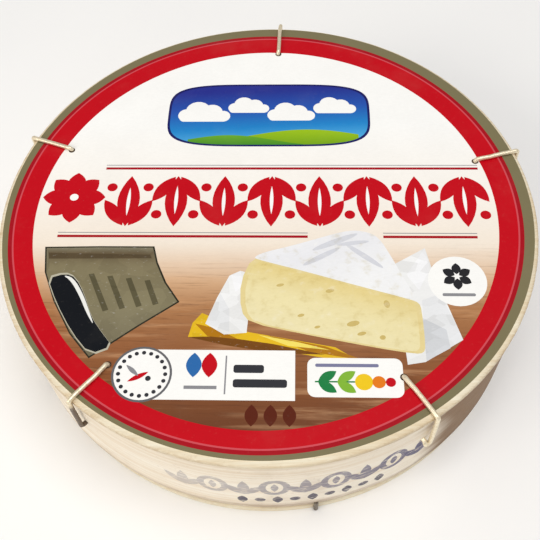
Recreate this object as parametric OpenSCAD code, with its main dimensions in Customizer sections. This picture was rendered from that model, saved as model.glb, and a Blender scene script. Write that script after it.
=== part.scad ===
// Round wooden cheese box, shut. The lid is a wooden disc with a printed paper label, stapled
// over a bent wooden hoop. It is pressed down over the base, a second hoop stapled to a
// bottom disc, so only a strip of the base shows. The origin is at the centre of the bottom
// disc's underside, with +Z up.

/* [Box] */
// Diameter of the lid's disc
lid_d = 115; // [90:1:150]
// Height of the shut box, without its label and wire staples
box_h = 31.8; // [25:0.2:60]
// Height of the base's strip below the lid's hoop
base_strip_h = 6.8; // [5:0.2:9]

/* [Wood] */
// Thickness of the lid's disc
lid_disc_t = 1.6; // [1.3:0.1:3]
// Thickness of the bottom disc
base_disc_t = 1.6; // [1.3:0.1:3]
// Radius on both edges of a disc
disc_edge_r = 0.5; // [0.3:0.05:0.6]
// Thickness of the lid's hoop
hoop_t = 1; // [0.8:0.1:1.6]
// How far the lid's disc stands out past its hoop
lid_overhang = 0.5; // [0.3:0.1:1]
// How far the bottom disc stands out past the base's hoop
base_overhang = 0.35; // [0.2:0.05:0.6]
// Gap all round between the lid's hoop and the base
hoop_gap = 0.35; // [0.2:0.05:0.6]

/* [Laps] */
// Angle over which a hoop's outer end runs out of round
lap_turn = 50; // [30:5:55]
// Direction of the free end of the lid's hoop
lid_lap_angle = 95; // [92:1:100]
// Direction of the free end of the base's hoop
base_lap_angle = 70; // [66:1:78]
// Share of the lid disc's overhang that the free end takes up
lid_lap_share = 0.9; // [0.4:0.1:0.9]
// Share of the gap between the hoops that the base's free end takes up
base_lap_share = 0.5; // [0.3:0.1:0.6]

/* [Label] */
// Thickness of the paper label
label_t = 0.2; // [0.1:0.05:0.3]
// Bare wood left between the label and the disc's rounded edge
label_inset = 0.05; // [0:0.05:1]

/* [Staples] */
// Number of staples in the lid, and in the base
staples = 5; // [3:1:6]
// Diameter of the wire
wire_d = 0.95; // [0.7:0.05:1.15]
// Radius on the inside of each bend
bend_in = 0.12; // [0.1:0.02:0.2]
// Direction of the first staple in the lid
lid_staple_angle = 12.4; // [10:0.1:15]
// Direction of the first staple in the base
base_staple_angle = -82.5; // [-85:0.5:-80]
// Length of a staple on the face of its disc
crown_l = 9.6; // [8:0.1:16]
// Length of a lid staple down the side
lid_leg_l = 11.2; // [6:0.1:13.5]
// Depth to which a base staple pierces the box above the bottom disc
base_pierce = 1.2; // [0.8:0.1:2]

/* [Clearances] */
// Gap between a wire and the surface that it lies on
wire_seat = 0.02; // [0.02:0.01:0.05]
// Gap round a wire in the wood
hole_gap = 0.1; // [0.05:0.01:0.12]
// Gap round a wire in the paper label
label_hole_gap = 0.15; // [0.12:0.01:0.3]
// Wood left under the tip of a wire in the lid's disc
disc_skin = 0.5; // [0.3:0.05:0.7]
// Wood left behind the tip of a wire in a hoop
hoop_skin = 0.3; // [0.2:0.05:0.5]
// Depth of a base staple below the resting face
crown_sink = 0.05; // [0.03:0.01:0.1]
// Gap between a base staple and the lower edge of the lid's hoop
leg_gap = 0.4; // [0.2:0.1:1]

/* [Hidden] */
$fn = 96;
wire_r = wire_d / 2;
bend_r = wire_r + bend_in;
staple_turn = 360 / staples;

lid_r = lid_d / 2;
lid_hoop_r = lid_r - lid_overhang;
lid_disc_z = box_h - lid_disc_t;
lid_hoop_h = lid_disc_z - base_strip_h;
label_r = lid_r - disc_edge_r - label_inset;

base_r = lid_hoop_r - hoop_t - hoop_gap;
base_disc_r = base_r + base_overhang;
base_h = lid_disc_z - base_disc_t;

// Lid staples, with heights from the top face of the lid's disc
lid_crown_z = label_t + wire_seat + wire_r;
lid_inner_x = lid_r - crown_l;
lid_outer_x = lid_r + wire_seat + wire_r;
lid_inner_z = disc_skin - lid_disc_t;
lid_tip_x = lid_hoop_r - hoop_t + hoop_skin;

// Base staples, upside down, with heights from the resting face down into the box as minus
base_crown_z = -crown_sink - wire_r;
base_inner_x = base_disc_r - crown_l;
base_outer_x = base_disc_r + wire_seat + wire_r;
base_inner_z = -base_disc_t - base_pierce;
base_side_z = leg_gap + wire_r - base_strip_h;
base_tip_x = base_r - hoop_t + hoop_skin;
base_slot_h = bend_r - base_crown_z + hole_gap;

// A disc of wood whose two edges are rounded
module rounded_disc(r, t) {
    rotate_extrude() {
        square([r - disc_edge_r, t]);
        translate([0, disc_edge_r])
            square([r, t - 2 * disc_edge_r]);
        for (z = [disc_edge_r, t - disc_edge_r])
            translate([r - disc_edge_r, z])
                circle(r = disc_edge_r);
    }
}

// The outline of a bent strip of radius r. Its outer end lies step proud at the given
// direction and runs back into the round over the lap's turn, as part of a smaller circle.
module lapped_outline(r, step, angle) {
    shift = step / (1 - cos(lap_turn));
    reach = 2 * r;
    spare_turn = lap_turn + 4;
    circle(r = r);
    rotate([0, 0, angle])
        intersection() {
            translate([shift, 0])
                circle(r = r + step - shift);
            polygon([
                [0, 0],
                [reach, 0],
                [reach * cos(spare_turn), reach * sin(spare_turn)]
            ]);
        }
}

// A straight stretch of wire along z at x
module wire_up(x, z_low, z_high, r = wire_r) {
    translate([x, 0, z_low])
        cylinder(h = z_high - z_low, r = r);
}

// A straight stretch of wire along x at z
module wire_out(z, x_low, x_high, r = wire_r) {
    translate([x_low, 0, z])
        rotate([0, 90, 0])
            cylinder(h = x_high - x_low, r = r);
}

// A quarter turn of wire about the point x, z, from the given direction upward
module wire_bend(x, z, from) {
    translate([x, 0, z])
        rotate([90, 0, 0])
            rotate([0, 0, from])
                rotate_extrude(angle = 90)
                    translate([bend_r, 0])
                        circle(r = wire_r);
}

// One staple in the plane y = 0: its crown lies along x at crown_z, its inner leg goes down
// to inner_z, and its outer leg goes down to side_z and turns in as far as tip_x.
module staple(crown_z, inner_x, outer_x, inner_z, side_z, tip_x) {
    low_z = crown_z - bend_r;
    turn_x = outer_x - bend_r;
    wire_up(inner_x, inner_z, low_z);
    wire_bend(inner_x + bend_r, low_z, 90);
    wire_out(crown_z, inner_x + bend_r, turn_x);
    wire_bend(turn_x, low_z, 0);
    wire_up(outer_x, side_z + bend_r, low_z);
    wire_bend(turn_x, side_z + bend_r, -90);
    wire_out(side_z, tip_x, turn_x);
}

// Places its children at staple number i of the lid, counted from 1, with z = 0 on the
// lid disc's top face
module at_lid_staple(i) {
    rotate([0, 0, lid_staple_angle + (i - 1) * staple_turn])
        translate([0, 0, box_h])
            children();
}

// Places its children upside down at staple number i of the base, counted from 1, with z = 0
// on the resting face
module at_base_staple(i) {
    rotate([0, 0, base_staple_angle + (i - 1) * staple_turn])
        mirror([0, 0, 1])
            children();
}

// The lid's wooden disc, pierced by the inner leg of each staple
module lid_disc() {
    color("burlywood")
        difference() {
            translate([0, 0, lid_disc_z])
                rounded_disc(lid_r, lid_disc_t);
            for (i = [1 : staples])
                at_lid_staple(i)
                    wire_up(lid_inner_x, lid_inner_z - hole_gap, label_t, wire_r + hole_gap);
        }
}

// The printed paper label on the lid
module label() {
    color("firebrick")
        difference() {
            translate([0, 0, box_h])
                cylinder(h = label_t, r = label_r);
            for (i = [1 : staples])
                at_lid_staple(i)
                    wire_up(lid_inner_x, -label_t, 2 * label_t, wire_r + label_hole_gap);
        }
}

// The lid's hoop, a bent strip with lapped ends, pierced by the tip of each staple
module lid_hoop() {
    color("wheat")
        difference() {
            translate([0, 0, base_strip_h])
                linear_extrude(lid_hoop_h)
                    difference() {
                        lapped_outline(lid_hoop_r, lid_lap_share * lid_overhang, lid_lap_angle);
                        circle(r = lid_hoop_r - hoop_t);
                    }
            for (i = [1 : staples])
                at_lid_staple(i)
                    wire_out(-lid_leg_l, lid_tip_x - hole_gap, lid_outer_x, wire_r + hole_gap);
        }
}

// The base's hoop with all that the shut box holds, as one solid
module base() {
    color("wheat")
        difference() {
            translate([0, 0, base_disc_t])
                linear_extrude(base_h)
                    lapped_outline(base_r, base_lap_share * hoop_gap, base_lap_angle);
            for (i = [1 : staples])
                at_base_staple(i) {
                    wire_up(base_inner_x, base_inner_z - hole_gap, 0, wire_r + hole_gap);
                    wire_out(base_side_z, base_tip_x - hole_gap, base_outer_x, wire_r + hole_gap);
                }
        }
}

// The bottom disc, slotted for the crown of each staple and pierced by its inner leg
module base_disc() {
    slot_w = wire_d + 2 * hole_gap;
    color("burlywood")
        difference() {
            rounded_disc(base_disc_r, base_disc_t);
            for (i = [1 : staples])
                at_base_staple(i) {
                    wire_up(base_inner_x, -2 * base_disc_t, 0, wire_r + hole_gap);
                    translate([base_inner_x - slot_w / 2, -slot_w / 2, -base_slot_h])
                        cube([2 * crown_l, slot_w, 2 * base_slot_h]);
                }
        }
}

// Staple number i of the lid
module lid_staple(i) {
    color("gainsboro")
        at_lid_staple(i)
            staple(
                lid_crown_z, lid_inner_x, lid_outer_x,
                lid_inner_z, -lid_leg_l, lid_tip_x
            );
}

// Staple number i of the base
module base_staple(i) {
    color("gainsboro")
        at_base_staple(i)
            staple(
                base_crown_z, base_inner_x, base_outer_x,
                base_inner_z, base_side_z, base_tip_x
            );
}

lid_disc();
label();
lid_hoop();
base();
base_disc();
for (i = [1 : staples]) {
    lid_staple(i);
    base_staple(i);
}
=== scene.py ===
"""Looks of a shut round cheese box of bent wood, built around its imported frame.

Outlines and sizes in this file are in millimetres, and the meshes are made in metres.
"""

import logging
import math
import random
from collections.abc import Callable, Sequence
from dataclasses import dataclass, field
from enum import Enum
from functools import lru_cache, reduce

import bmesh
import bpy
from mathutils import Matrix, Vector, noise
from mathutils.geometry import delaunay_2d_cdt


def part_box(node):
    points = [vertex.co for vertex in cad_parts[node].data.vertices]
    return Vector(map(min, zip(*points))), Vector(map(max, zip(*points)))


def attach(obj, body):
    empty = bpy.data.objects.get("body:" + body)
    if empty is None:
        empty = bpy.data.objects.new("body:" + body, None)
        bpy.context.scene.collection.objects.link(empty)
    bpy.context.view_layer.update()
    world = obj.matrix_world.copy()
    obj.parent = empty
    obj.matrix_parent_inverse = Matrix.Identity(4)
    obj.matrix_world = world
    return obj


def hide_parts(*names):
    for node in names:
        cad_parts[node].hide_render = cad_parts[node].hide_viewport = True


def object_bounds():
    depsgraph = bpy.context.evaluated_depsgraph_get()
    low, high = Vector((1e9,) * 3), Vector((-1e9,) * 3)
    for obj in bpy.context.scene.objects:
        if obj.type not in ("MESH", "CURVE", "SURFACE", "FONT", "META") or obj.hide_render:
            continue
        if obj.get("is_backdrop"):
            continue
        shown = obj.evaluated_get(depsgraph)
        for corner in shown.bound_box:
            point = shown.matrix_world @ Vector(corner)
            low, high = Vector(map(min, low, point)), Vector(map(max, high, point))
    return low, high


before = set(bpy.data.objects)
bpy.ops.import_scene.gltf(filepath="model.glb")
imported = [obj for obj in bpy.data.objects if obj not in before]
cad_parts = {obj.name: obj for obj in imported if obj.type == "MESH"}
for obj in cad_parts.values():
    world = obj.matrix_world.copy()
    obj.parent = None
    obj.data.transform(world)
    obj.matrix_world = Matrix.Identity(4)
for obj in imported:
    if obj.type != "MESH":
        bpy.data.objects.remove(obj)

LOG = logging.getLogger("cheese_box")
MM = 0.001
BODY = "root"
INK_LAYER = "ink"
GRAIN_LAYER = "grain_place"
# This layer marks raw wood edges, and on the wires the legs painted dark brown as painted shade.
EDGE_AND_SHADE_LAYER = "raw_edge_and_shade"
VALUE_KEYS = {"FLOAT": "value", "FLOAT_COLOR": "color", "FLOAT_VECTOR": "vector"}
LEAF_FULLNESS = 0.85
CORNER_STEPS = 6
CORNER_TURN = 18

Point = tuple[float, float]
Outline = list[Point]
Colour = tuple[float, ...]
Faces = list[tuple[int, ...]]
Spot = tuple[float, ...]
Mesh = bpy.types.Mesh
Material = bpy.types.Material
Tree = bpy.types.NodeTree
Node = bpy.types.Node
Socket = bpy.types.NodeSocket


@lru_cache(maxsize=None)
def linear(code: str) -> Colour:
    """Turns a colour code into linear light.

    Args:
        code: Six hexadecimal digits, two each for red, green and blue.

    Returns:
        The linear red, green and blue, from 0 to 1.
    """
    parts = [int(code[i:i + 2], 16) / 255 for i in (0, 2, 4)]
    return tuple(p / 12.92 if p <= 0.04045 else ((p + 0.055) / 1.055) ** 2.4 for p in parts)


def opaque(code: str) -> Colour:
    """Turns a colour code into the opaque colour that a node takes."""
    return (*linear(code), 1.0)


def blend(a: Sequence[float], b: Sequence[float], share: float) -> tuple[float, ...]:
    """Mixes two colours or points, with the given share of the second."""
    return tuple(p + (q - p) * share for p, q in zip(a, b))


def hills(x: float, y: float = 0.0, z: float = 0.0, octaves: int = 3) -> float:
    """Gives smooth, repeatable unevenness from -1 to 1 at a place in wavelengths."""
    return max(-1.0, min(1.0, noise.fractal(Vector((x, y, z)), 1.0, 2.0, octaves)))


def polar(radius: float, angle: float) -> Point:
    """Gives the point at a distance from the origin, in a direction in radians."""
    return radius * math.cos(angle), radius * math.sin(angle)


def box_of(node: str) -> tuple[Vector, Vector]:
    """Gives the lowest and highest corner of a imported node, in millimetres."""
    low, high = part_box(node)
    return low / MM, high / MM


# ---------------------------------------------------------------- outlines


def placed(points: Outline, x: float, y: float, degrees: float) -> Outline:
    """Turns an outline anticlockwise about the origin, and then moves it by x and y."""
    c, s = polar(1.0, math.radians(degrees))
    return [(x + px * c - py * s, y + px * s + py * c) for px, py in points]


def ellipse(x: float, y: float, rx: float, ry: float, turn: float = 0.0, steps: int = 28) -> Outline:
    """Draws an ellipse about x and y, with its half width and half height, turned in degrees."""
    unit = [polar(1.0, math.tau * i / steps) for i in range(steps)]
    return placed([(rx * c, ry * s) for c, s in unit], x, y, turn)


def circle(x: float, y: float, radius: float, steps: int = 28) -> Outline:
    """Draws a circle of the given number of points."""
    return ellipse(x, y, radius, radius, 0.0, steps)


def panel(x0: float, y0: float, x1: float, y1: float, corner: float = 0.0) -> Outline:
    """Draws an upright rectangle with round corners.

    Args:
        x0: Left side.
        y0: Lower side.
        x1: Right side.
        y1: Upper side.
        corner: Radius of its corners.

    Returns:
        Its outline.
    """
    if corner <= 0:
        return [(x0, y0), (x1, y0), (x1, y1), (x0, y1)]
    left, right, low, high = x0 + corner, x1 - corner, y0 + corner, y1 - corner
    outline = []
    for cx, cy, start in ((right, low, -90), (right, high, 0), (left, high, 90), (left, low, 180)):
        for step in range(CORNER_STEPS):
            px, py = polar(corner, math.radians(start + CORNER_TURN * step))
            outline.append((cx + px, cy + py))
    return outline


def leaf(x: float, y: float, width: float, length: float, turn: float = 0.0, steps: int = 9) -> Outline:
    """Draws a leaf that is pointed at both ends.

    Args:
        x: Foot of the leaf, to the right.
        y: Foot of the leaf, upward.
        width: Its greatest width.
        length: From foot to tip.
        turn: Degrees that it leans anticlockwise from upright.
        steps: Points along each side.

    Returns:
        Its outline.
    """
    widths = [math.sin(math.pi * i / steps) ** LEAF_FULLNESS * width / 2 for i in range(steps)]
    side = [(w, length * i / steps) for i, w in enumerate(widths)]
    return placed(side + [(-w, length - v) for w, v in side], x, y, turn)


def petals(x: float, y: float, count: int, gap: float, width: float, length: float) -> list[Outline]:
    """Draws leaves that spread evenly round a point.

    Args:
        x: The point, to the right.
        y: The point, upward.
        count: How many leaves.
        gap: From the point to each leaf's foot.
        width: Greatest width of a leaf.
        length: From foot to tip.

    Returns:
        The leaves' outlines.
    """
    found = []
    for i in range(count):
        turn = 360.0 / count * i
        px, py = polar(gap, math.radians(turn + 90))
        found.append(leaf(x + px, y + py, width, length, turn))
    return found


def softened(points: Sequence[Point], rounds: int = 2) -> Outline:
    """Rounds an outline by cutting its corners.

    Args:
        points: The outline.
        rounds: How often its corners are cut.

    Returns:
        The rounder outline.
    """
    points = list(points)
    for _ in range(rounds):
        ahead = points[1:] + points[:1]
        points = [q for a, b in zip(points, ahead) for q in (blend(a, b, 0.25), blend(a, b, 0.75))]
    return points


def drawn_in(points: Sequence[Point], middle: Point, share: float) -> Outline:
    """Moves an outline's points towards a middle by a share of their distance."""
    return [blend(p, middle, share) for p in points]


def anticlockwise(points: Outline) -> Outline:
    """Puts an outline's points in anticlockwise order."""
    area = sum(a[0] * b[1] - b[0] * a[1] for a, b in zip(points, points[1:] + points[:1]))
    return points if area > 0 else points[::-1]


# ---------------------------------------------------------------- printing


class Surface(Enum):
    """The printed surfaces of the label, by material slot of its mesh."""

    FLAT = 0
    TABLE = 1
    CHEESE = 2
    FOIL = 3


@dataclass(frozen=True)
class Ink:
    """A printed colour, which may run through several along a line.

    Args:
        stops: Places along the line, in rising order, each with its colour code.
        axis: Direction of the line.
        surface: The printed surface that the shape takes.
        strength: How much of it covers what is below, where it is stamped on wood.
    """

    stops: tuple[tuple[float, str], ...]
    axis: Point = (0.0, 1.0)
    surface: Surface = Surface.FLAT
    strength: float = 1.0

    @classmethod
    def plain(cls, code: str, surface: Surface = Surface.FLAT, strength: float = 1.0) -> "Ink":
        """Makes an ink of one colour."""
        return cls(((0.0, code),), surface=surface, strength=strength)

    def at(self, x: float, y: float) -> Colour:
        """Gives the colour at a point.

        Args:
            x: To the right.
            y: Upward.

        Returns:
            The linear colour.
        """
        place = x * self.axis[0] + y * self.axis[1]
        for (low, first), (high, second) in zip(self.stops, self.stops[1:]):
            if place < high:
                return blend(linear(first), linear(second), max(0.0, (place - low) / (high - low)))
        return linear(self.stops[-1][1])


@dataclass(frozen=True)
class Shape:
    """A printed shape: its outline and its ink."""

    outline: Outline
    ink: Ink


def printed(ink: Ink, *outlines: Outline) -> list[Shape]:
    """Prints outlines in one ink, each over those before it."""
    return [Shape(outline, ink) for outline in outlines]


def foil_ink(code: str) -> Ink:
    """Makes an ink of one colour that shines like foil."""
    return Ink.plain(code, Surface.FOIL)


RED = Ink.plain("C60318")
DEEP_RED = Ink.plain("A90A1C")
RED_LINE = Ink.plain("D0505A")
KHAKI = Ink.plain("7E7657")
WHITE = Ink.plain("FDFDFB")
SLATE = Ink.plain("33343A")
GREY = Ink.plain("8D8D92")
BROWN = Ink.plain("5B210E")
WOOD_BARE = Ink.plain("FFFFFF", strength=0.0)
WALL_AND_TABLE = Ink(
    (
        (-50.0, "6F4128"), (-42.0, "85512F"), (-33.0, "98633E"), (-25.0, "AE7A50"),
        (-19.0, "D6AC85"), (-14.5, "EAD0B6"), (-9.5, "F6EADB"), (4.0, "FBF6EF"), (24.0, "FEFEFC"),
    ),
    surface=Surface.TABLE,
)


@dataclass
class Rings:
    """The khaki border and the red rings round the label's field."""

    label_radius: float
    label_shift: Point
    khaki_inner: float = 54.8
    line_outer: float = 53.95
    line_inner: float = 53.6
    field_radius: float = 49.5
    shift: Point = (-0.5, -0.5)
    field_shift: Point = (-0.5, -1.15)
    border_steps: int = 360
    steps: int = 300

    def shapes(self) -> list[Shape]:
        """Draws the border, the rings and the field, a pale wall above a wooden table.

        Returns:
            The shapes, from the lowest up.
        """
        found = printed(KHAKI, circle(*self.label_shift, self.label_radius, self.border_steps))
        for middle, radius, ink in (
            (self.shift, self.khaki_inner, DEEP_RED), (self.shift, self.line_outer, RED_LINE),
            (self.shift, self.line_inner, RED), (self.field_shift, self.field_radius, WALL_AND_TABLE),
        ):
            found += printed(ink, circle(*middle, radius, self.steps))
        return found


@dataclass
class SkyPlaque:
    """A blue plaque with clouds over a green hill."""

    x: float = -0.2
    y: float = 27.4
    half_width: float = 23.6
    half_height: float = 9.9
    power: float = 4.2
    rim: float = 0.55
    rim_steps: int = 72
    hill_steps: int = 40
    clouds: tuple[Spot, ...] = (
        (-15.2, -2.2, 6.6), (-4.8, 0.6, 5.2), (5.2, -1.9, 6.0), (15.4, 0.4, 5.4),
    )
    puffs: tuple[Spot, ...] = (
        (-0.62, 0.30, 0.30), (-0.22, 0.52, 0.44), (0.28, 0.44, 0.38), (0.68, 0.26, 0.26),
    )

    def rim_outline(self, inset: float) -> Outline:
        """Draws the plaque's outline.

        Args:
            inset: How far inside the outer edge it runs.

        Returns:
            The outline.
        """
        a, b = self.half_width - inset, self.half_height - inset
        outline = []
        for i in range(self.rim_steps):
            c, s = polar(1.0, math.tau * i / self.rim_steps)
            px = a * math.copysign(abs(c) ** (2 / self.power), c)
            py = b * math.copysign(abs(s) ** (2 / self.power), s)
            outline.append((self.x + px, self.y + py))
        return outline

    def hill(self, crest: Callable[[float], float]) -> Outline:
        """Draws a hill along the plaque's lower edge, inside its rim.

        Args:
            crest: Height of the hill over the plaque's centre at a place to the right of it.

        Returns:
            The outline.
        """
        a, b, count = self.half_width - self.rim, self.half_height - self.rim, self.hill_steps
        places = [-a + 2 * a * i / count for i in range(count + 1)]
        floor = [-b * max(0.0, 1 - abs(p / a) ** self.power) ** (1 / self.power) for p in places]
        ridge = [max(low, crest(p)) for p, low in zip(places, floor)]
        inner = [i for i in range(count + 1) if ridge[i] > floor[i] + 0.02]
        lower = [(self.x + places[i], self.y + floor[i]) for i in inner]
        return lower + [(self.x + places[i], self.y + ridge[i]) for i in reversed(inner)]

    def cloud(self, x: float, y: float, size: float) -> list[Shape]:
        """Draws a cloud as round puffs on a flat foot.

        Args:
            x: Its middle, to the right of the plaque's centre.
            y: Its foot, above the plaque's centre.
            size: Its height.

        Returns:
            Its shapes.
        """
        cx, cy = self.x + x, self.y + y
        puffs = [circle(cx + size * u, cy + size * v, size * r, 18) for u, v, r in self.puffs]
        foot = panel(cx - 0.85 * size, cy, cx + 0.85 * size, cy + 0.32 * size, 0.15 * size)
        return printed(WHITE, *puffs, foot)

    def shapes(self) -> list[Shape]:
        """Draws the plaque with its sky, clouds and hills.

        Returns:
            The shapes, from the lowest up.
        """
        heights = ((-9.0, "55B4EA"), (-4.0, "2287CF"), (1.5, "2757B4"), (8.0, "27308F"))
        sky = Ink(tuple((self.y + up, code) for up, code in heights), axis=(-0.06, 1.0))
        far = Ink(((self.y - 10.0, "6FA319"), (self.y - 5.0, "9DC41C")))
        near = Ink(((self.y - 10.0, "3F8A2B"), (self.y - 6.0, "6FB02A")))
        found = printed(Ink.plain("1B1C63"), self.rim_outline(0.0)) + printed(sky, self.rim_outline(self.rim))
        for cloud in self.clouds:
            found += self.cloud(*cloud)
        found += printed(far, self.hill(lambda x: -6.6 + 1.9 * math.cos((x - 9.0) / 8.5)))
        return found + printed(near, self.hill(lambda x: -7.9 + 1.5 * math.cos((x + 9.0) / 6.5)))


@dataclass
class LeafFrieze:
    """A red frieze of sprigs between double rules."""

    upper: float = 11.0
    lower: float = -7.6
    upper_span: Point = (-36.3, 46.4)
    lower_spans: tuple[Point, ...] = ((-44.3, 8.8), (24.6, 44.2))
    rosette: Point = (-42.3, 2.8)
    rosette_radius: float = 6.9
    rosette_eye: float = 1.5
    first: float = -30.2
    pitch: float = 10.4
    sprigs: int = 8
    foot: float = -5.0
    height: float = 13.8

    def rules(self) -> list[Shape]:
        """Draws a thick and a thin rule above and below.

        Returns:
            The shapes, from the lowest up.
        """
        found = []
        lower = [(span, self.lower) for span in self.lower_spans]
        for (low, high), y in [(self.upper_span, self.upper), *lower]:
            found += printed(DEEP_RED, panel(low, y - 0.32, high, y + 0.32))
            found += printed(GREY, panel(low, y + 0.85, high, y + 1.05))
        return found

    def flower(self) -> list[Shape]:
        """Draws the rosette at the frieze's left end.

        Returns:
            The shapes, from the lowest up.
        """
        x, y = self.rosette
        found = printed(RED, *petals(x, y, 8, self.rosette_eye, 4.0, self.rosette_radius - self.rosette_eye))
        return found + printed(RED, circle(x, y, 2.4, 20)) + printed(WHITE, circle(x, y, 0.95, 16))

    def sprig(self, x: float, tall: bool) -> list[Shape]:
        """Draws one sprig of a tall leaf between two lower ones.

        Args:
            x: Its middle.
            tall: Whether it stands on its foot, and not hangs from above.

        Returns:
            Its shapes.
        """
        side, foot, lean = (1, self.foot, 0.0) if tall else (-1, self.foot + self.height, 180.0)
        found = printed(RED, leaf(x, foot, 4.9, self.height, lean))
        found += printed(WHITE, leaf(x, foot + side * 2.8, 0.8, self.height * 0.56, lean))
        for way in (-1, 1):
            blade = leaf(x + way * 0.6, foot + side * 0.2, 3.1, 8.3, lean - way * side * 34)
            found += printed(RED, blade, circle(x + way * 4.0, foot + side * 10.6, 1.15, 16))
        return found

    def shapes(self) -> list[Shape]:
        """Draws the whole frieze.

        Returns:
            The shapes, from the lowest up.
        """
        found = self.rules() + self.flower()
        for i in range(self.sprigs):
            found += self.sprig(self.first + self.pitch * i, i % 2 == 0)
        return found


@dataclass
class FoilPortion:
    """A portion of cheese in khaki foil, with a bare dark sticker."""

    outline: tuple[Point, ...] = (
        (-46.4, -10.4), (-34.8, -10.2), (-23.3, -10.2), (-22.2, -14.2), (-20.0, -19.1), (-16.9, -23.7),
        (-24.6, -29.4), (-33.4, -36.4), (-38.0, -31.1), (-42.4, -23.7), (-45.4, -16.7),
    )
    sticker: tuple[Point, ...] = (
        (-44.8, -17.9), (-41.2, -16.6), (-38.8, -17.7), (-36.2, -22.2), (-34.3, -27.0), (-31.7, -30.6),
        (-28.9, -34.0), (-33.2, -35.9), (-37.7, -30.8), (-42.1, -23.7),
    )
    stripe: tuple[Point, ...] = (
        (-41.6, -17.4), (-39.2, -18.0), (-36.6, -22.0), (-34.7, -26.2),
        (-33.3, -29.4), (-35.3, -26.4), (-37.3, -22.4), (-39.7, -18.7),
    )
    fold: tuple[Point, ...] = ((-45.4, -11.9), (-24.0, -12.3), (-23.6, -13.2), (-45.1, -13.4))
    middle: Point = (-33.0, -21.0)
    sticker_middle: Point = (-36.2, -26.6)

    def shapes(self) -> list[Shape]:
        """Draws the foil with its dark edge, its folds and the sticker.

        Returns:
            The shapes, from the lowest up.
        """
        foil = Ink(
            ((-36.0, "77705A"), (-24.0, "8A8265"), (-15.0, "857B5E"), (-12.0, "6A5B43"), (-10.0, "8F8B76")),
            surface=Surface.FOIL,
        )
        found = printed(foil_ink("2F2E22"), list(self.outline))
        found += printed(foil, drawn_in(self.outline, self.middle, 0.03))
        found += printed(foil_ink("5A4C36"), list(self.fold))
        for i in range(4):
            x, y = -36.2 + 3.9 * i, -17.2 - 0.5 * i
            foot = [(x + 5.2 - 0.6 * i, y - 8.4 + 1.0 * i), (x + 4.1 - 0.6 * i, y - 8.8 + 1.0 * i)]
            found += printed(foil_ink("5E5840"), [(x, y), (x + 1.1, y + 0.2), *foot])
        inner = drawn_in(self.sticker, self.sticker_middle, 0.045)
        found += printed(Ink.plain("BDB9A6"), softened(self.sticker, 1))
        found += printed(Ink.plain("101319"), softened(inner, 1))
        return found + printed(Ink.plain("F2F2EE"), softened(self.stripe, 2))


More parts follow.
